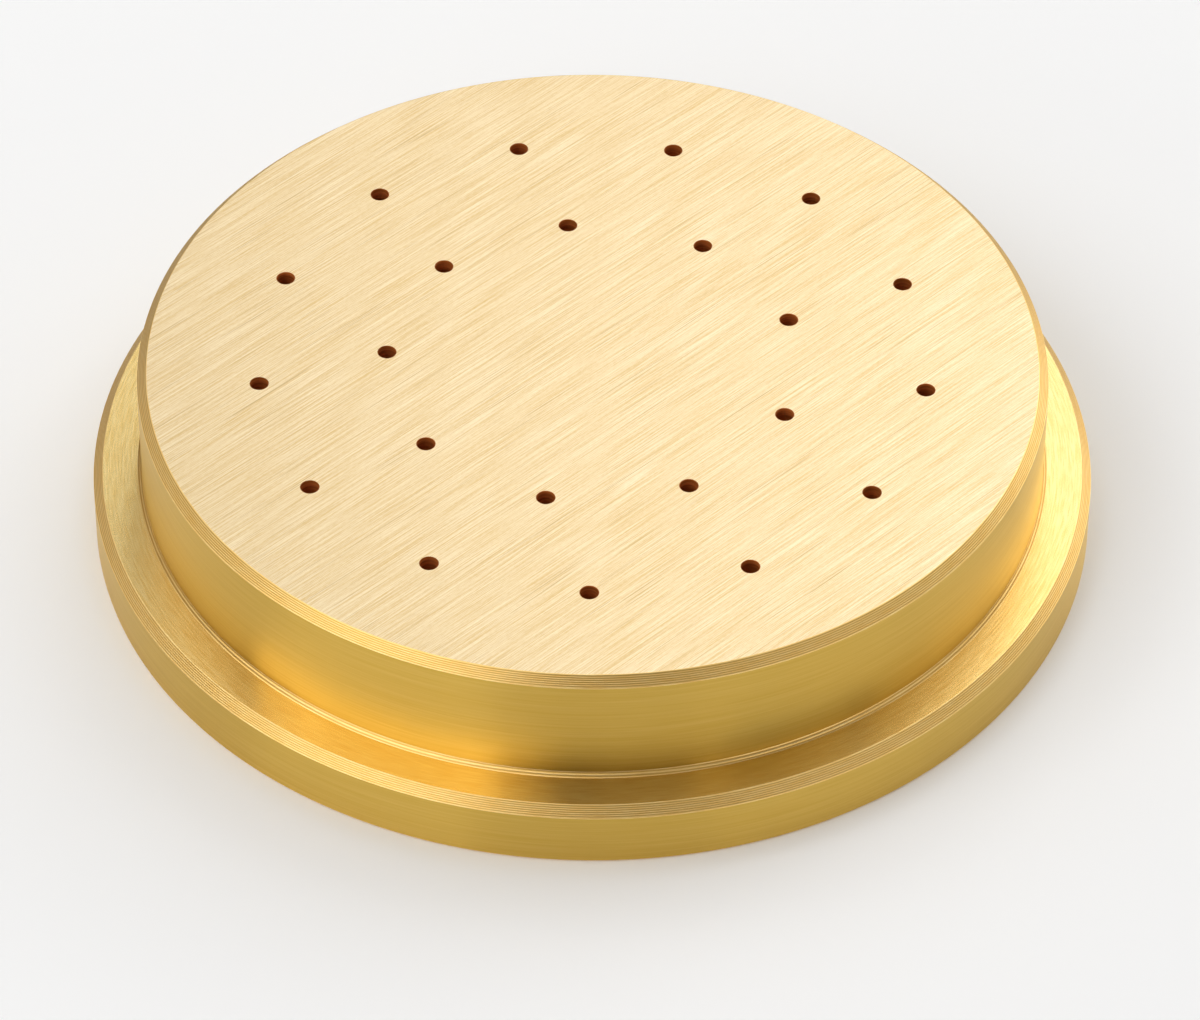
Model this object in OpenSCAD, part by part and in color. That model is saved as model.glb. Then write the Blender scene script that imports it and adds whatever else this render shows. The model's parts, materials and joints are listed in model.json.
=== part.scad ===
// Pasta extrusion die, turned from one piece of brass. A round boss stands on a
// seating flange, and two rings of passages are drilled through both. Each passage
// is a wide feed bore from the rear that narrows, at a drill point, to a short exit
// hole in the front face. The dimensions are in millimetres. The origin is at the
// centre of the rear face, and +Z points out of the exit face.

/* [Turned body] */
// Diameter of the boss, which passes through the ring nut
boss_d = 72; // [66:0.1:100]
// Height of the boss above the seat of the flange
boss_h = 10; // [5:0.1:25]
// Radial width of the flange outside the boss
flange_w = 3.9; // [2:0.1:12]
// Thickness of the flange
flange_t = 5.5; // [3:0.1:12]

/* [Turned edges] */
// Leg of the chamfer round the exit face
face_chamfer = 0.75; // [0.2:0.05:2]
// Leg of the chamfer on the front edge of the flange
flange_chamfer = 0.75; // [0.2:0.05:1.4]
// Leg of the narrow cone in the corner between boss and flange
foot_bevel = 0.35; // [0.1:0.05:1]
// Leg of the edge break round the rear face
rear_break = 0.2; // [0.05:0.05:1]

/* [Exit holes] */
// Diameter of an exit hole, which sets the thickness of a strand
exit_d = 1.45; // [0.8:0.05:3]
// Length of an exit hole, from the exit face to the drill point
exit_l = 3; // [1:0.1:8]

/* [Feed bores] */
// Diameter of the feed bore behind an exit hole
feed_d = 4; // [3:0.1:6]
// Included angle of the drill point that ends a feed bore
drill_point = 118; // [90:1:150]
// Leg of the countersink at the mouth of a feed bore
feed_countersink = 0.3; // [0.1:0.05:1]

/* [Hole pattern] */
// Direction of the line on which both rings start, in degrees from +X
start_angle = -62.7; // [-180:0.1:180]
// Number of passages in the outer ring
outer_count = 13; // [3:1:20]
// Distance from the boss wall to the centres of the outer ring
outer_inset = 9.6; // [4:0.1:12]
// Number of passages in the inner ring
inner_count = 9; // [3:1:12]
// Radial distance from the outer ring to the inner ring
ring_spacing = 10.1; // [7:0.1:14]

/* [Hidden] */

// Turned body
boss_r = boss_d / 2;
flange_r = boss_r + flange_w;
face_z = flange_t + boss_h;

// Drilled passages
exit_r = exit_d / 2;
feed_r = feed_d / 2;
feed_mouth_r = feed_r + feed_countersink;
exit_start_z = face_z - exit_l;
feed_end_z = exit_start_z - (feed_r - exit_r) / tan(drill_point / 2);

// Hole pattern
outer_ring_r = boss_r - outer_inset;
inner_ring_r = outer_ring_r - ring_spacing;

// Distance that a cutting tool runs past the face it breaks through
overrun = 1;
// Facets round the turned body and round a drilled passage
body_facets = 180;
hole_facets = 36;

// The blank as it leaves the lathe: one outline revolved about the axis
module turned_blank()
    rotate_extrude($fn = body_facets)
        polygon([
            [0, 0],
            [flange_r - rear_break, 0],
            [flange_r, rear_break],
            [flange_r, flange_t - flange_chamfer],
            [flange_r - flange_chamfer, flange_t],
            [boss_r + foot_bevel, flange_t],
            [boss_r, flange_t + foot_bevel],
            [boss_r, face_z - face_chamfer],
            [boss_r - face_chamfer, face_z],
            [0, face_z]
        ]);

// The space of one passage: countersink, feed bore, drill point and exit hole
module passage()
    rotate_extrude($fn = hole_facets)
        polygon([
            [0, -overrun],
            [feed_mouth_r, -overrun],
            [feed_mouth_r, 0],
            [feed_r, feed_countersink],
            [feed_r, feed_end_z],
            [exit_r, exit_start_z],
            [exit_r, face_z + overrun],
            [0, face_z + overrun]
        ]);

// A ring of passages, evenly spaced from the start line
module passage_ring(count, ring_r)
    for (i = [0 : count - 1])
        rotate(start_angle + i * 360 / count)
            translate([ring_r, 0, 0])
                passage();

// The finished die: the turned blank with both rings of passages drilled
module die()
    color("#d8b567")
        difference() {
            turned_blank();
            passage_ring(outer_count, outer_ring_r);
            passage_ring(inner_count, inner_ring_r);
        }

die();
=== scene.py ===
"""A turned brass pasta extrusion die: its finishes, its fine tool marks and a small photo stage.

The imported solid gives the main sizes. The die is drawn again as one closed skin of the same form, with
the ridges that the lathe left on its narrow cones, and stands on a pale floor under soft lights.
"""
import json
import math

import bpy
import numpy as np
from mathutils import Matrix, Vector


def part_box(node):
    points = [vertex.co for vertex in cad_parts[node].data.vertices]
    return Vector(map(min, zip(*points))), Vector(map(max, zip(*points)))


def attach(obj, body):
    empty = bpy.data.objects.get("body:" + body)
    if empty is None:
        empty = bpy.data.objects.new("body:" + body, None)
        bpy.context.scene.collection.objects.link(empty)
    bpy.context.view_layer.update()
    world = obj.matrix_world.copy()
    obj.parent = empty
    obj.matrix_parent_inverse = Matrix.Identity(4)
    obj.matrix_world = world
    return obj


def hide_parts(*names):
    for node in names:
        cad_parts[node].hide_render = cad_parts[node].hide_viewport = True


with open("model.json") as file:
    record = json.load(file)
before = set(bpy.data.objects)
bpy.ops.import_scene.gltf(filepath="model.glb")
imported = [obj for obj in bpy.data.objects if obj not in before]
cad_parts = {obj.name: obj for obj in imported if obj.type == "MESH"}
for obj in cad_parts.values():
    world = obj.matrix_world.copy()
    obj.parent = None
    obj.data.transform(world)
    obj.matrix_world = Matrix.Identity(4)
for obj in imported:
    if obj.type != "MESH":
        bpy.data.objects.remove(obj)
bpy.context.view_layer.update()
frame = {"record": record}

bl_info = {
    "name": "Pasta extrusion die",
    "version": (1, 0, 0),
    "blender": (4, 5, 0),
    "location": "View3D > Sidebar > Die",
    "description": "Builds a turned brass pasta die with its finishes, and a photo stage for it",
    "category": "Object",
}

MM = 0.001
FULL_TURN = 2 * math.pi
MOUNTS = {mount["name"]: mount for mount in frame["record"]["mounts"]}
BOSS_RADIUS = MOUNTS["boss"]["dims"]["r_mm"] * MM
FLANGE_RADIUS = MOUNTS["flange_rim"]["dims"]["r_mm"] * MM
SEAT_HEIGHT = MOUNTS["nut_seat"]["pos_m"][2]
FACE_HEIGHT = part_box("die")[1].z

FINISHES = ("face", "wall", "seat", "rear", "cone", "bore")
FINISH_MAP = "finish"
BAKE_MAP = "OFBake"
CREST = "crest"


# Values that a user can change

def length(name, description, millimetres):
    """A length that the panel shows in the scene's units, given here in millimetres."""
    return bpy.props.FloatProperty(
        name=name, description=description, default=millimetres * MM,
        subtype="DISTANCE", unit="LENGTH", precision=5,
    )


def angle(name, description, degrees):
    """An angle that the panel shows in degrees."""
    return bpy.props.FloatProperty(
        name=name, description=description, default=math.radians(degrees), subtype="ANGLE", unit="ROTATION",
    )


def colour(name, description, red, green, blue):
    """A linear colour."""
    return bpy.props.FloatVectorProperty(
        name=name, description=description, default=(red, green, blue), size=3, min=0, max=1, subtype="COLOR",
    )


def count(name, description, number):
    """A whole number of like things."""
    return bpy.props.IntProperty(name=name, description=description, default=number, min=1)


def strength(name, description, number):
    """The strength of a light, a plain number."""
    return bpy.props.FloatProperty(name=name, description=description, default=number, min=0)


class DieShape(bpy.types.PropertyGroup):
    """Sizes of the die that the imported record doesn't give"""

    face_chamfer: length("Face chamfer", "Leg of the chamfer round the exit face", 0.75)
    flange_chamfer: length("Flange chamfer", "Leg of the chamfer on the flange", 0.75)
    foot_bevel: length("Foot bevel", "Leg of the narrow cone at the foot of the boss", 0.35)
    rear_break: length("Rear break", "Leg of the edge break round the rear face", 0.2)
    edge_radius: length("Edge radius", "Rounding of the turned edges", 0.1)
    exit_radius: length("Exit hole radius", "Radius of an exit hole", 0.725)
    exit_length: length("Exit hole length", "Length of an exit hole", 3)
    feed_radius: length("Feed bore radius", "Radius of a feed bore", 2)
    feed_countersink: length("Feed countersink", "Leg of the countersink of a feed bore", 0.3)
    drill_point: angle("Drill point", "Included angle at the end of a feed bore", 118)
    start_angle: angle("Start angle", "Direction of the line on which both rings start", -62.7)
    outer_count: count("Outer holes", "Number of holes in the outer ring", 13)
    outer_ring: length("Outer ring", "Pitch radius of the outer ring of holes", 26.4)
    inner_count: count("Inner holes", "Number of holes in the inner ring", 9)
    inner_ring: length("Inner ring", "Pitch radius of the inner ring of holes", 16.3)
    chamfer_ridges: count("Chamfer ridges", "Ridges that the tool left on a chamfer", 6)
    foot_ridges: count("Foot ridges", "Ridges that the tool left on the foot bevel", 2)
    ridge_height: length("Ridge height", "Height of a ridge above its valley", 0.02)


class DieFinish(bpy.types.PropertyGroup):
    """Colours of the brass, with painted shade on the walls, in the valleys between the ridges and in the
    bores, and the direction in which its face is brushed
    """

    face_colour: colour("Brushed brass", "Colour of the brushed exit face", 0.99, 0.84, 0.58)
    streak_colour: colour("Brushed streak", "Colour of the darker streaks on the face", 0.77, 0.54, 0.23)
    scratch_colour: colour("Scratch", "Colour of the dark scratches on the face", 0.68, 0.48, 0.23)
    # The turned walls' colour is the brass darkened and deepened as painted shade. Their darker feed marks
    # are real tool marks laid on that shaded tint.
    shaded_wall_colour: colour("Turned wall", "Colour of the turned walls", 0.73, 0.49, 0.11)
    shaded_wall_mark_colour: colour("Wall mark", "Colour of the darker feed marks on the walls", 0.67, 0.43, 0.08)
    seat_colour: colour("Turned seat", "Colour of the seat and of the rear face", 0.94, 0.73, 0.33)
    seat_mark_colour: colour("Seat mark", "Colour of the darker marks on the seat", 0.85, 0.59, 0.20)
    # The crests' colour is the brass, made paler in part as painted highlight, and the valleys' colour is
    # painted shade: together they draw the light and dark lines of the ridges. The crest colour also lies on
    # the rounded edges.
    cone_colour: colour("Ridged cone", "Colour of the crests of the narrow ridged cones", 1.00, 0.75, 0.32)
    cone_mark_colour: colour("Cone mark", "Colour of the marks on the crests", 0.95, 0.61, 0.19)
    valley_shade_colour: colour("Valley", "Colour of the valleys between the ridges", 0.60, 0.33, 0.07)
    # The bores' red-brown is the brass deepened as painted shade of the deep holes. The darker rings are real
    # drill marks in that shaded tint.
    shaded_bore_colour: colour("Drilled bore", "Colour of the drilled passages", 0.72, 0.27, 0.07)
    shaded_bore_mark_colour: colour("Bore mark", "Colour of the drill's darker rings", 0.44, 0.14, 0.03)
    grain_angle: angle("Grain", "Direction of the brushed lines on the face, from +X", 44)


class DieStage(bpy.types.PropertyGroup):
    """The floor, the light of the room and the camera"""

    floor_colour: colour("Floor", "Colour of the floor", 0.93, 0.93, 0.93)
    room_colour: colour("Room", "Colour of the faint light from all round", 1.0, 0.9, 0.75)
    room_strength: strength("Room strength", "Strength of the faint light from all round", 0.02)
    camera_back: length("Camera back", "Distance of the camera from the die's axis", 375.63)
    camera_up: length("Camera up", "Height of the camera above the exit face", 339.18)
    camera_tilt: angle("Camera tilt", "Tilt of the camera up from looking straight down", 46.574)
    camera_roll: angle("Camera roll", "Turn of the camera about the Y axis", -0.261)
    camera_turn: angle("Camera turn", "Turn of the camera about the upright axis", 0.150)
    camera_lens: length("Lens", "Focal length of the camera on a 36 mm sensor", 192.2)


def settings():
    """The add-on's values in the current scene."""
    return bpy.context.scene.die_shape, bpy.context.scene.die_finish, bpy.context.scene.die_stage


# Outline of the turned body

def straight(start, end, steps=1):
    """A straight stretch of outline: start + (end - start) * t, for t from 0 to 1."""
    t = np.linspace(0, 1, steps + 1)[:, None]
    return np.asarray(start) + (np.asarray(end) - np.asarray(start)) * t


def ridged(start, end, ridges, height, steps=8):
    """A straight stretch with ridges: height * (1 - cos) / 2 under the line, which the crests touch."""
    line = straight(start, end, ridges * steps)
    way = (line[-1] - line[0]) / np.linalg.norm(line[-1] - line[0])
    out = np.array([-way[1], way[0]])
    turn = np.linspace(0, ridges * FULL_TURN, len(line))
    return line + out * (np.cos(turn) - 1)[:, None] * height / 2


def rounded(corner, before, after, radius, steps=4):
    """An arc that rounds a corner between two points of the outline, touching both of its sides."""
    into = (corner - before) / np.linalg.norm(corner - before)
    away = (after - corner) / np.linalg.norm(after - corner)
    turn = math.acos(np.clip(into @ away, -1, 1))
    cut = radius * math.tan(turn / 2)
    side = np.sign(into[0] * away[1] - into[1] * away[0])
    hub = corner - into * cut + side * radius * np.array([-into[1], into[0]])
    swing = np.linspace(0, side * turn, steps + 1)
    arm = corner - into * cut - hub
    return hub + np.stack([
        arm[0] * np.cos(swing) - arm[1] * np.sin(swing),
        arm[0] * np.sin(swing) + arm[1] * np.cos(swing),
    ], axis=1)


def normals_of(outline):
    """Outward normals of an outline: its tangent turned by a quarter turn."""
    way = np.gradient(outline, axis=0)
    way /= np.linalg.norm(way, axis=1, keepdims=True)
    return np.stack([-way[:, 1], way[:, 0]], axis=1)


def crest_of(outline, height):
    """Place between valley, 0, and crest, 1: 1 + offset / height.

    The offset is measured out from the line between the two ends, and is negative in a valley.
    """
    way = (outline[-1] - outline[0]) / np.linalg.norm(outline[-1] - outline[0])
    offset = (outline - outline[0]) @ np.array([-way[1], way[0]])
    return np.clip(1 + offset / height, 0, 1)


def travel(outline):
    """Distance along an outline, from its first point to each of its points, as a column."""
    steps = np.linalg.norm(np.diff(outline, axis=0), axis=1)
    return np.concatenate([[0], np.cumsum(steps)])[:, None]


def turned_outline(shape, face_edge):
    """Stretches of the outline as (finish, points), from the exit face over the edges to the rear face.

    The points are (radius, height). The corners are those of the solid. A convex corner is rounded, and
    the two chamfers and the foot bevel carry ridges.
    """
    corner = {name: np.array(point) for name, point in {
        "face": (face_edge, FACE_HEIGHT),
        "face_rim": (BOSS_RADIUS - shape.face_chamfer, FACE_HEIGHT),
        "boss_top": (BOSS_RADIUS, FACE_HEIGHT - shape.face_chamfer),
        "boss_foot": (BOSS_RADIUS, SEAT_HEIGHT + shape.foot_bevel),
        "seat_in": (BOSS_RADIUS + shape.foot_bevel, SEAT_HEIGHT),
        "seat_out": (FLANGE_RADIUS - shape.flange_chamfer, SEAT_HEIGHT),
        "rim_top": (FLANGE_RADIUS, SEAT_HEIGHT - shape.flange_chamfer),
        "rim_foot": (FLANGE_RADIUS, shape.rear_break),
        "rear_rim": (FLANGE_RADIUS - shape.rear_break, 0),
        "rear": (face_edge, 0),
    }.items()}
    order = list(corner)
    front_radius, rear_radius = shape.edge_radius, shape.edge_radius / 2
    rounding = {
        "face_rim": front_radius, "boss_top": front_radius, "seat_out": front_radius,
        "rim_top": front_radius, "rim_foot": rear_radius, "rear_rim": rear_radius,
    }
    ridges = {
        "face_rim": shape.chamfer_ridges, "seat_out": shape.chamfer_ridges, "boss_foot": shape.foot_ridges,
    }
    finishes = {
        "face": "face", "boss_top": "wall", "rim_top": "wall", "seat_in": "seat", "rear_rim": "rear",
    }
    arcs = {
        name: rounded(corner[name], corner[order[i - 1]], corner[order[i + 1]], rounding[name])
        for i, name in enumerate(order) if name in rounding
    }
    stretches = []
    for name, following in zip(order, order[1:]):
        start = arcs[name][-1] if name in arcs else corner[name]
        end = arcs[following][0] if following in arcs else corner[following]
        if name in ridges:
            points = ridged(start, end, ridges[name], shape.ridge_height)
        else:
            points = straight(start, end)
        stretches.append((finishes.get(name, "cone"), points))
        if following in arcs:
            stretches.append(("cone", arcs[following]))
    return stretches


# Surfaces

# Steps from a hole's edge to the rim of its cell, and along a side of the cell
FLAT_STEPS = 3
SIDE_STEPS = 10
# Points of a turned ring for each step that both rings of holes share
RING_FINENESS = 2
# Corners whose places agree to this many metres share a vertex
MERGE_STEP = 1e-7

# Places on the bake map, in shares of its width
FACE_BAKE = {"centre": (0.33, 0.33), "radius": 0.325}
REAR_BAKE = {"centre": (0.82, 0.18), "radius": 0.175}
TURNED_BAKE = {"low": (0.005, 0.70), "size": (0.99, 0.29)}
BORE_BAKE = {"low": (0.67, 0.37), "size": (0.32, 0.32)}
# Bare edge on either side of a passage's strip, in shares of the strip's width
STRIP_MARGIN = 0.04


def cells(grid):
    """The four corners of every cell of a grid of values, in order round the cell."""
    corners = [grid[:-1, :-1], grid[1:, :-1], grid[1:, 1:], grid[:-1, 1:]]
    return np.stack(corners, axis=2).reshape(-1, 4, grid.shape[-1])


def patch(points, normals, finish, bake, material, crest=None):
    """A surface patch as the corner values of its faces, each an array of faces by corners by values.

    The crest is 1 on the surface and on the crests of its ridges, and 0 in the valleys between them, which
    take a painted shade.
    """
    crest = np.ones(points.shape[:2] + (1,)) if crest is None else crest
    return {
        "points": points, "normals": normals, "finish": finish, "bake": bake, "material": material,
        "crest": crest,
    }


def grid_patch(points, normals, finish, bake, material, crest=None):
    """A patch from a grid of points with a value of each kind at every point."""
    return patch(
        *(cells(grid) for grid in (points, normals, finish, bake)), material,
        None if crest is None else cells(crest),
    )


def at_height(plan, height):
    """Points from plan points and one height, or a height for each row of them."""
    return np.concatenate([plan, np.broadcast_to(height, plan.shape[:-1] + (1,))], axis=-1)


def upright(points, up):
    """Normals of a flat face, the same at all of its points: up is 1 or -1."""
    return np.broadcast_to([0.0, 0.0, up], points.shape)


def revolve(outline, angles):
    """Carries an outline of (radius, height) round the axis: x = r cos a, y = r sin a, z = h."""
    r, h = outline[:, :1], outline[:, 1:]
    flat = np.ones_like(angles)
    return np.stack([r * np.cos(angles), r * np.sin(angles), h * flat], axis=-1)


def on_face(points, grain):
    """Finish coordinates of the brushed face in millimetres: across the grain, then along it."""
    across = points[..., 1] * math.cos(grain) - points[..., 0] * math.sin(grain)
    along = points[..., 0] * math.cos(grain) + points[..., 1] * math.sin(grain)
    return np.stack([across, along], axis=-1) / MM


def on_rear(points, middle):
    """Finish coordinates of the rear face: radius in millimetres, then turns on from a middle direction."""
    turned = (points[..., 0] + 1j * points[..., 1]) * np.exp(-1j * middle)
    return np.stack([np.abs(turned) / MM, np.angle(turned) / FULL_TURN], axis=-1)


def disc_map(points, place, radius):
    """Bake coordinates of a flat round face: its plan, fitted into a disc of the map."""
    return np.asarray(place["centre"]) + points[..., :2] * place["radius"] / radius


def strip_map(u, v, place):
    """Bake coordinates of a strip: u and v from 0 to 1 over a rectangle of the map."""
    return np.stack([
        place["low"][0] + u * place["size"][0],
        place["low"][1] + v * place["size"][1],
    ], axis=-1)


def face_values(points, finish):
    """Finish coordinates, bake coordinates and finish of points on the exit face."""
    return on_face(points, finish.grain_angle), disc_map(points, FACE_BAKE, BOSS_RADIUS), "face"


def rear_values(points, lay):
    """Finish coordinates, which are given, bake coordinates and finish of points on the rear face."""
    return lay, disc_map(points, REAR_BAKE, FLANGE_RADIUS), "rear"


def turned_patches(shape, finish, angles, face_edge):
    """The revolved stretches of the outline. The finish runs across the tool marks, along the outline."""
    stretches = turned_outline(shape, face_edge)
    turned_length = sum(travel(points)[-1, 0] for name, points in stretches if name not in ("face", "rear"))
    turns = (angles - angles[0]) / FULL_TURN
    done = 0.0
    patches = []
    for name, outline in stretches:
        points = revolve(outline, angles)
        normals = revolve(normals_of(outline), angles)
        u = np.broadcast_to(turns, points.shape[:2])
        if name == "face":
            patches.append(grid_patch(points, normals, *face_values(points, finish)))
        elif name == "rear":
            reach = np.broadcast_to(outline[:, :1], u.shape)
            lay = np.stack([reach / MM, u], axis=-1)
            patches.append(grid_patch(points, normals, *rear_values(points, lay)))
        else:
            v = np.broadcast_to(done + travel(outline), u.shape)
            # The crest mask is 0 in the valleys, where the cones get their painted shade.
            crest = crest_of(outline, shape.ridge_height)[:, None, None]
            patches.append(grid_patch(
                points, normals, np.stack([v / MM, u], axis=-1),
                strip_map(u, v / turned_length, TURNED_BAKE), name, np.broadcast_to(crest, u.shape + (1,)),
            ))
            done = v[-1, 0]
    return patches


def centre_patches(finish, angles, edge):
    """The round middles of the two flat faces, each a fan of triangles about the axis."""
    ring = edge * np.stack([np.cos(angles), np.sin(angles)], axis=-1)
    middles = (angles[:-1, None] + angles[1:, None]) / 2
    hub = np.zeros_like(ring[1:])
    top = at_height(np.stack([hub, ring[:-1], ring[1:]], axis=1), FACE_HEIGHT)
    bottom = at_height(np.stack([hub, ring[1:], ring[:-1]], axis=1), 0)
    return [
        patch(top, upright(top, 1), *face_values(top, finish)),
        patch(bottom, upright(bottom, -1), *rear_values(bottom, on_rear(bottom, middles))),
    ]


def cell_rim(inner, outer, middle, half, arc_steps):
    """The closed rim of a sector cell round one hole, counter-clockwise, as plan points.

    It runs out along one side, on along the outer arc, in along the other side and home along the inner
    arc. The cell lies between two radii and within half an angle of its middle direction.
    """
    sides = np.linspace(inner, outer, SIDE_STEPS + 1)
    arcs = np.linspace(-half, half, arc_steps + 1)
    radius = np.concatenate([
        sides[:-1], np.full(arc_steps, outer), sides[:0:-1], np.full(arc_steps, inner),
    ])
    turn = middle + np.concatenate([
        np.full(SIDE_STEPS, -half), arcs[:-1], np.full(SIDE_STEPS, half), arcs[:0:-1],
    ])
    rim = np.stack([radius * np.cos(turn), radius * np.sin(turn)], axis=1)
    return np.concatenate([rim, rim[:1]])


def cell_patches(finish, rim, hub, way, middle, lip_radius, mouth_radius):
    """The flat cells round the two mouths of one passage, on the exit face and on the rear face.

    A cell's surface runs between its rim and the hole's edge along straight lines, p = from + (to - from) t.
    """
    t = np.linspace(0, 1, FLAT_STEPS + 1)[:, None, None]
    lip, mouth = hub + way * lip_radius, hub + way * mouth_radius
    top = at_height(lip + (rim - lip) * t, FACE_HEIGHT)
    bottom = at_height(rim + (mouth - rim) * t, 0)
    return [
        grid_patch(top, upright(top, 1), *face_values(top, finish)),
        grid_patch(bottom, upright(bottom, -1), *rear_values(bottom, on_rear(bottom, middle))),
    ]


def passage_outline(shape):
    """Stretches of one drilled passage as points of (radius, height), from the rear mouth to the exit lip."""
    exit_start = FACE_HEIGHT - shape.exit_length
    point_length = (shape.feed_radius - shape.exit_radius) / math.tan(shape.drill_point / 2)
    lip_rounding = shape.edge_radius / 3
    corner = [np.array(point) for point in (
        (shape.feed_radius + shape.feed_countersink, 0),
        (shape.feed_radius, shape.feed_countersink),
        (shape.feed_radius, exit_start - point_length),
        (shape.exit_radius, exit_start),
        (shape.exit_radius, FACE_HEIGHT),
    )]
    on_the_face = np.array((2 * shape.exit_radius, FACE_HEIGHT))
    lip = rounded(corner[4], corner[3], on_the_face, lip_rounding)
    stretches = [straight(corner[i], corner[i + 1]) for i in range(3)]
    return stretches + [straight(corner[3], lip[0]), lip]


def bore_patches(stretches, hub, way, strip, strips):
    """The wall of one passage: its outline carried round the hole's own axis, hub + r * way at height h.

    The directions are those of the points of the cell's rim, so wall and cells meet point to point.
    """
    turn = np.unwrap(np.arctan2(way[:, 1], way[:, 0]))
    turns = (turn - turn[0]) / FULL_TURN
    bore_length = sum(travel(outline)[-1, 0] for outline in stretches)
    done = 0.0
    patches = []
    for outline in stretches:
        tilt = normals_of(outline)
        points = at_height(hub + way * outline[:, :1, None], outline[:, 1:, None])
        normals = at_height(way * tilt[:, :1, None], tilt[:, 1:, None])
        v = np.broadcast_to(done + travel(outline), points.shape[:2])
        u = np.broadcast_to(turns, v.shape)
        in_strip = STRIP_MARGIN + (1 - 2 * STRIP_MARGIN) * v / bore_length
        patches.append(grid_patch(
            points, normals, np.stack([v / MM, u], axis=-1),
            strip_map((strip + in_strip) / strips, u, BORE_BAKE), "bore",
        ))
        done = v[-1, 0]
    return patches


def passage_patches(shape, finish, ring_radius, number, inner, outer, arc_steps, first_strip, strips):
    """One ring of drilled passages with the flat cells round their mouths, on both faces."""
    stretches = passage_outline(shape)
    mouth_radius, lip_radius = stretches[0][0][0], stretches[-1][-1][0]
    half = math.pi / number
    patches = []
    for i in range(number):
        middle = shape.start_angle + i * 2 * half
        rim = cell_rim(inner, outer, middle, half, arc_steps)
        hub = ring_radius * np.array([math.cos(middle), math.sin(middle)])
        way = (rim - hub) / np.linalg.norm(rim - hub, axis=1, keepdims=True)
        patches += cell_patches(finish, rim, hub, way, middle, lip_radius, mouth_radius)
        patches += bore_patches(stretches, hub, way, first_strip + i, strips)
    return patches


def skin_patches(shape, finish):
    """All patches of the die. Where two of them meet they have the same points, so the skin is closed."""
    per_ring = RING_FINENESS * int(np.lcm(shape.outer_count, shape.inner_count))
    start = shape.start_angle + math.pi / shape.outer_count
    angles = start + np.linspace(0, FULL_TURN, per_ring + 1)
    between = (shape.outer_ring + shape.inner_ring) / 2
    margin = shape.outer_ring - between
    inner_edge, face_edge = shape.inner_ring - margin, shape.outer_ring + margin
    strips = shape.outer_count + shape.inner_count
    patches = turned_patches(shape, finish, angles, face_edge)
    patches += centre_patches(finish, angles, inner_edge)
    patches += passage_patches(
        shape, finish, shape.outer_ring, shape.outer_count, between, face_edge,
        per_ring // shape.outer_count, 0, strips,
    )
    patches += passage_patches(
        shape, finish, shape.inner_ring, shape.inner_count, inner_edge, between,
        per_ring // shape.inner_count, shape.outer_count, strips,
    )
    return patches


def skin_mesh(name, patches):
    """One closed mesh from the patches: corners in one place share a vertex, and each keeps its normal."""
    corners = np.concatenate([p["points"].reshape(-1, 3) for p in patches])
    _, first, vertex = np.unique(
        np.round(corners / MERGE_STEP).astype(np.int64), axis=0, return_index=True, return_inverse=True,
    )
    sizes = np.concatenate([np.full(len(p["points"]), p["points"].shape[1]) for p in patches])
    starts = np.concatenate([[0], np.cumsum(sizes)[:-1]])
    materials = np.concatenate([np.full(len(p["points"]), FINISHES.index(p["material"])) for p in patches])
    mesh = bpy.data.meshes.new(name)
    mesh.vertices.add(len(first))
    mesh.vertices.foreach_set("co", corners[first].astype(np.float32).ravel())
    mesh.loops.add(len(corners))
    mesh.loops.foreach_set("vertex_index", vertex.ravel().astype(np.int32))
    mesh.polygons.add(len(sizes))
    mesh.polygons.foreach_set("loop_start", starts.astype(np.int32))
    mesh.polygons.foreach_set("material_index", materials.astype(np.int32))
    mesh.update(calc_edges=True)
    for layer, key in ((FINISH_MAP, "finish"), (BAKE_MAP, "bake")):
        values = np.concatenate([np.asarray(p[key]).reshape(-1, 2) for p in patches])
        mesh.uv_layers.new(name=layer).data.foreach_set("uv", values.astype(np.float32).ravel())
    crest = np.concatenate([p["crest"].ravel() for p in patches])
    mesh.attributes.new(CREST, "FLOAT", "CORNER").data.foreach_set("value", crest.astype(np.float32))
    mesh.polygons.foreach_set("use_smooth", np.ones(len(sizes), bool))
    normals = np.concatenate([p["normals"].reshape(-1, 3) for p in patches])
    mesh.normals_split_custom_set(normals.astype(np.float32))
    if mesh.validate():
        raise RuntimeError(f"the mesh of {name} has faulty faces")
    return mesh


# Materials

def new_material(name):
    """A node material, its Principled shader, and functions that add a node to it and link two sockets."""
    material = bpy.data.materials.new(name)
    material.use_nodes = True
    tree = material.node_tree
    shader = tree.nodes["Principled BSDF"]

    def add(kind, links=None, **values):
        node = tree.nodes.new(kind)
        for key, value in values.items():
            setattr(node, key, value)
        for key, value in (links or {}).items():
            socket = node.inputs[key]
            if isinstance(value, bpy.types.NodeSocket):
                tree.links.new(value, socket)
            else:
                socket.default_value = value
        return node

    return material, shader, add, tree.links.new


def lay_position(add, across, along):
    """Place of a point for its tool marks, in waves a millimetre: across the lay, and along it in plan."""
    lay = add("ShaderNodeSeparateXYZ", {"Vector": add("ShaderNodeUVMap", uv_map=FINISH_MAP).outputs["UV"]})
    plan = add("ShaderNodeSeparateXYZ", {"Vector": add("ShaderNodeTexCoord").outputs["Object"]})

    def scaled(value, factor):
        return add("ShaderNodeMath", {0: value, 1: factor}, operation="MULTIPLY").outputs["Value"]

    return add("ShaderNodeCombineXYZ", {
        "X": scaled(lay.outputs["X"], across),
        "Y": scaled(plan.outputs["X"], along / MM),
        "Z": scaled(plan.outputs["Y"], along / MM),
    }).outputs["Vector"]


def marks(add, across, along, detail):
    """Noise drawn out along the lay: fine marks across it, long ones along it."""
    return add("ShaderNodeTexNoise", {
        "Vector": lay_position(add, across, along), "Scale": 1, "Detail": detail,
    }).outputs["Fac"]


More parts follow.
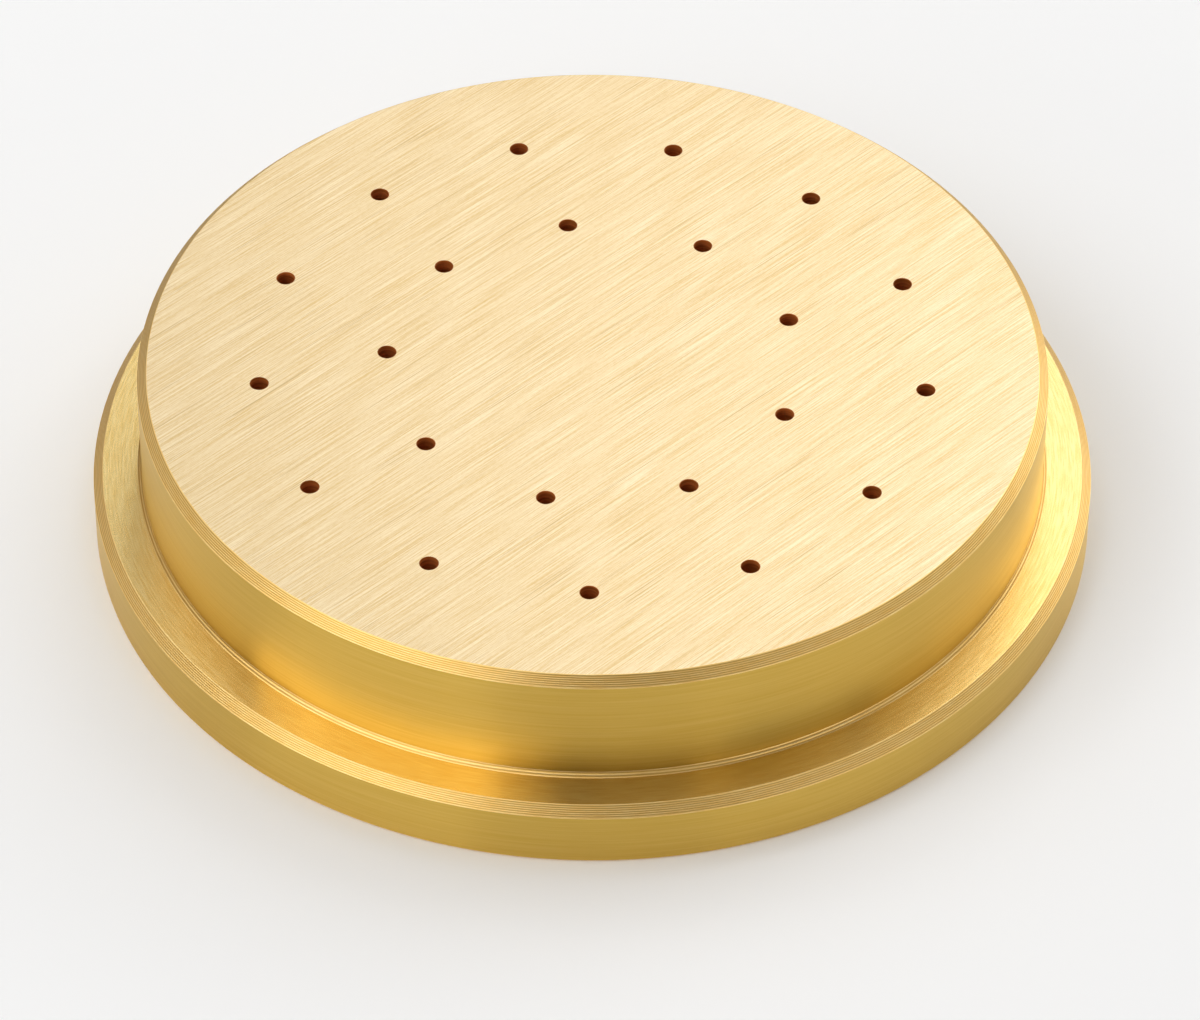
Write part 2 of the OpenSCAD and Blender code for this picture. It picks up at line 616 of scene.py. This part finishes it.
def spread(add, value, low=0.3, high=0.7):
    """Stretches a value so that low becomes 0 and high becomes 1, and cuts off what is beyond."""
    return add("ShaderNodeMapRange", {"Value": value, "From Min": low, "From Max": high}).outputs["Result"]


def blend(add, amount, dark, bright):
    """A colour between two colours or colour sockets."""
    node = add("ShaderNodeMix", data_type="RGBA")
    links = node.id_data.links
    links.new(amount, node.inputs["Factor"])
    for socket, tint in ((node.inputs["A"], dark), (node.inputs["B"], bright)):
        if isinstance(tint, bpy.types.NodeSocket):
            links.new(tint, socket)
        else:
            socket.default_value = (*tint, 1)
    return node.outputs["Result"]


def bare_brass(name, roughness, anisotropic):
    """Brass whose reflections spread across the lay of its tool marks."""
    material, shader, add, link = new_material(name)
    shader.inputs["Metallic"].default_value = 1
    shader.inputs["Roughness"].default_value = roughness
    shader.inputs["Anisotropic"].default_value = anisotropic
    lay = add("ShaderNodeTangent", direction_type="UV_MAP", uv_map=FINISH_MAP)
    link(lay.outputs["Tangent"], shader.inputs["Tangent"])
    return material, shader, add, link


def raised(shader, add, link, height, depth):
    """Lets a height from 0 to 1 tilt the surface, as relief of a depth in millimetres."""
    bump = add("ShaderNodeBump", {"Height": height, "Strength": 1, "Distance": depth * MM})
    link(bump.outputs["Normal"], shader.inputs["Normal"])


def brushed_brass(name, finish):
    """The exit face: fine streaks, broad bands, flecks and a few darker scratches, all along the grain."""
    material, shader, add, link = bare_brass(name, roughness=0.4, anisotropic=0.8)
    fine = spread(add, marks(add, across=16, along=0.16, detail=3), low=0.36, high=0.64)
    fleck = spread(add, marks(add, across=13, along=2.5, detail=2), low=0.35, high=0.65)
    broad = spread(add, marks(add, across=3.5, along=0.07, detail=2), low=0.25, high=0.75)
    scratch = spread(add, marks(add, across=12, along=0.1, detail=1), low=0.26, high=0.36)
    fine_share, broad_share, fleck_share = 0.7, 0.1, 0.2
    tone = add("ShaderNodeMath", {0: fine, 1: fine_share}, operation="MULTIPLY").outputs["Value"]
    for value, share in ((broad, broad_share), (fleck, fleck_share)):
        tone = add("ShaderNodeMath", {0: value, 1: share, 2: tone}, operation="MULTIPLY_ADD").outputs["Value"]
    brushed = blend(add, tone, finish.streak_colour, finish.face_colour)
    link(blend(add, scratch, finish.scratch_colour, brushed), shader.inputs["Base Color"])
    raised(shader, add, link, fine, depth=0.006)
    return material


def turned_brass(name, tint, dark_tint, roughness, anisotropic, across, along, depth):
    """A turned surface: feed marks that run round it, which darken it and tilt it."""
    material, shader, add, link = bare_brass(name, roughness, anisotropic)
    feed = spread(add, marks(add, across, along, detail=3))
    link(blend(add, feed, dark_tint, tint), shader.inputs["Base Color"])
    raised(shader, add, link, feed, depth)
    return material


def ridged_brass(name, finish):
    """The narrow cones: paler crests, partly painted highlight, and darker valleys, painted shade, which draw
    the ridges; and marks that break up the crests.
    """
    material, shader, add, link = bare_brass(name, roughness=0.38, anisotropic=0)
    crest = add("ShaderNodeAttribute", attribute_name=CREST).outputs["Fac"]
    wear = spread(add, marks(add, across=9, along=0.6, detail=2))
    worn = blend(add, wear, finish.cone_mark_colour, finish.cone_colour)
    # The crest mask puts painted shade in the valleys and leaves the crests paler, partly as painted
    # highlight.
    link(blend(add, crest, finish.valley_shade_colour, worn), shader.inputs["Base Color"])
    raised(shader, add, link, wear, depth=0.001)
    return material


def drilled_brass(name, finish):
    """The passages: dull from the drill, deep red-brown as painted shade of the deep holes, in the lighter
    and darker rings that the drill left.
    """
    material, shader, add, link = bare_brass(name, roughness=0.8, anisotropic=0)
    rings = spread(add, marks(add, across=4, along=0.3, detail=1))
    # Both bore colours carry painted shade of the deep holes.
    link(blend(add, rings, finish.shaded_bore_mark_colour, finish.shaded_bore_colour), shader.inputs["Base Color"])
    raised(shader, add, link, rings, depth=0.02)
    return material


def brass_finishes(finish):
    """One material for each finish."""
    # The walls' two tints are the brass darkened as painted shade.
    wall = {
        "tint": finish.shaded_wall_colour, "dark_tint": finish.shaded_wall_mark_colour,
        "roughness": 0.28, "anisotropic": 1.0, "across": 6, "along": 0.1, "depth": 0.003,
    }
    seat = {
        "tint": finish.seat_colour, "dark_tint": finish.seat_mark_colour,
        "roughness": 0.23, "anisotropic": 0.95, "across": 8, "along": 0.5, "depth": 0.004,
    }
    return {
        "face": brushed_brass("brushed_face", finish),
        "wall": turned_brass("turned_wall", **wall),
        "seat": turned_brass("turned_seat", **seat),
        "rear": turned_brass("turned_rear", **seat),
        "cone": ridged_brass("ridged_cone", finish),
        "bore": drilled_brass("drilled_bore", finish),
    }


# Stage

FLOOR_RADIUS = 4.0
FLOOR_STEPS = 64
SENSOR_WIDTH = 36
CLIP_NEAR, CLIP_FAR = 0.01, 20
SOFTBOX_DISTANCE = 0.6
# Name, degrees round from the camera's side to the right, degrees up, width, height, brightness
SOFTBOXES = (
    ("left_front", -45, 16, 0.50, 0.28, 1.8),
    ("left_high", -54, 48, 0.60, 0.35, 2.1),
    ("left_top", -112, 45, 0.45, 0.30, 1.0),
    ("back_left", -154, 40, 0.40, 0.40, 0.6),
    ("back_right", 150, 39, 0.52, 0.45, 1.65),
    ("right_back", 127, 16, 0.34, 0.36, 1.3),
    ("right_side", 95, 24, 0.48, 0.30, 0.85),
    ("left_side", -110, 17, 0.50, 0.30, 0.42),
    ("back_top", 180, 66, 0.50, 0.30, 0.9),
    ("right_top", 105, 56, 0.40, 0.30, 0.75),
    ("front_right", 30, 30, 0.60, 0.40, 0.22),
    ("front_low", 46, 14, 0.50, 0.24, 1.15),
    ("front_high", 0, 60, 0.50, 0.30, 0.4),
    ("overhead", 0, 88, 0.30, 0.30, 0.9),
)


def softbox(name, azimuth, elevation, width, height, brightness):
    """A rectangular lamp that faces the die. A mirror would show it at its brightness, where 1 is white."""
    a, e = math.radians(azimuth), math.radians(elevation)
    target = Vector((0, 0, FACE_HEIGHT))
    way = Vector((math.sin(a) * math.cos(e), -math.cos(a) * math.cos(e), math.sin(e)))
    lamp = bpy.data.lights.new(name, "AREA")
    lamp.shape = "RECTANGLE"
    lamp.size, lamp.size_y = width, height
    lamp.energy = brightness * math.pi * width * height
    box = bpy.data.objects.new(name, lamp)
    box.location = target + way * SOFTBOX_DISTANCE
    box.rotation_euler = way.to_track_quat("Z", "Y").to_euler()
    bpy.context.scene.collection.objects.link(box)


def floor_disc(stage):
    """A round pale floor under the die: one polygon whose corners lie on a circle."""
    turn = np.linspace(0, FULL_TURN, FLOOR_STEPS, endpoint=False)
    points = np.stack([FLOOR_RADIUS * np.cos(turn), FLOOR_RADIUS * np.sin(turn), 0 * turn], axis=1)
    mesh = bpy.data.meshes.new("floor")
    mesh.from_pydata(points.tolist(), [], [list(range(FLOOR_STEPS))])
    floor = bpy.data.objects.new("floor", mesh)
    bpy.context.scene.collection.objects.link(floor)
    material, shader, *_ = new_material("floor")
    shader.inputs["Base Color"].default_value = (*stage.floor_colour, 1)
    shader.inputs["Roughness"].default_value = 1
    shader.inputs["Specular IOR Level"].default_value = 0
    mesh.materials.append(material)


def room_light(stage):
    """The faint, even light that comes from all round."""
    world = bpy.data.worlds.new("room")
    world.use_nodes = True
    background = world.node_tree.nodes["Background"]
    background.inputs["Color"].default_value = (*stage.room_colour, 1)
    background.inputs["Strength"].default_value = stage.room_strength
    bpy.context.scene.world = world


def photo_camera(stage):
    """The camera at the photograph's viewing angle, in front of the die and above it."""
    camera = bpy.data.cameras.new("camera")
    camera.sensor_width = SENSOR_WIDTH
    camera.lens = stage.camera_lens / MM
    camera.clip_start, camera.clip_end = CLIP_NEAR, CLIP_FAR
    view = bpy.data.objects.new("camera", camera)
    view.location = (0, -stage.camera_back, FACE_HEIGHT + stage.camera_up)
    view.rotation_euler = (stage.camera_tilt, stage.camera_roll, stage.camera_turn)
    bpy.context.scene.collection.objects.link(view)
    bpy.context.scene.camera = view


class DIE_OT_body(bpy.types.Operator):
    """Build the brass die as one closed skin with its six finishes"""

    bl_idname = "die.body"
    bl_label = "Brass die"

    def execute(self, context):
        shape, finish, _ = settings()
        mesh = skin_mesh("brass_die", skin_patches(shape, finish))
        materials = brass_finishes(finish)
        for name in FINISHES:
            mesh.materials.append(materials[name])
        die = bpy.data.objects.new("brass_die", mesh)
        context.scene.collection.objects.link(die)
        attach(die, "root")
        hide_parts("die")
        return {"FINISHED"}


class DIE_OT_stage(bpy.types.Operator):
    """Set the floor, the lights and the camera round the die"""

    bl_idname = "die.stage"
    bl_label = "Photo stage"

    def execute(self, context):
        _, _, stage = settings()
        context.scene.view_settings.view_transform = "Standard"
        floor_disc(stage)
        room_light(stage)
        for box in SOFTBOXES:
            softbox(*box)
        photo_camera(stage)
        return {"FINISHED"}


class DIE_PT_panel(bpy.types.Panel):
    """Values of the die and its stage, and the operators that build them"""

    bl_idname = "DIE_PT_panel"
    bl_label = "Pasta die"
    bl_space_type = "VIEW_3D"
    bl_region_type = "UI"
    bl_category = "Die"

    def draw(self, context):
        for group in settings():
            box = self.layout.box()
            for name in group.__annotations__:
                box.prop(group, name)
        for operator in (DIE_OT_body, DIE_OT_stage):
            self.layout.operator(operator.bl_idname)


GROUPS = {"die_shape": DieShape, "die_finish": DieFinish, "die_stage": DieStage}
CLASSES = (*GROUPS.values(), DIE_OT_body, DIE_OT_stage, DIE_PT_panel)


def register():
    for cls in CLASSES:
        bpy.utils.register_class(cls)
    for name, group in GROUPS.items():
        setattr(bpy.types.Scene, name, bpy.props.PointerProperty(type=group))


def unregister():
    for name in GROUPS:
        delattr(bpy.types.Scene, name)
    for cls in reversed(CLASSES):
        bpy.utils.unregister_class(cls)


def main():
    """Builds the die and its stage."""
    register()
    bpy.ops.die.body()
    bpy.ops.die.stage()


if __name__ == "__main__":
    main()
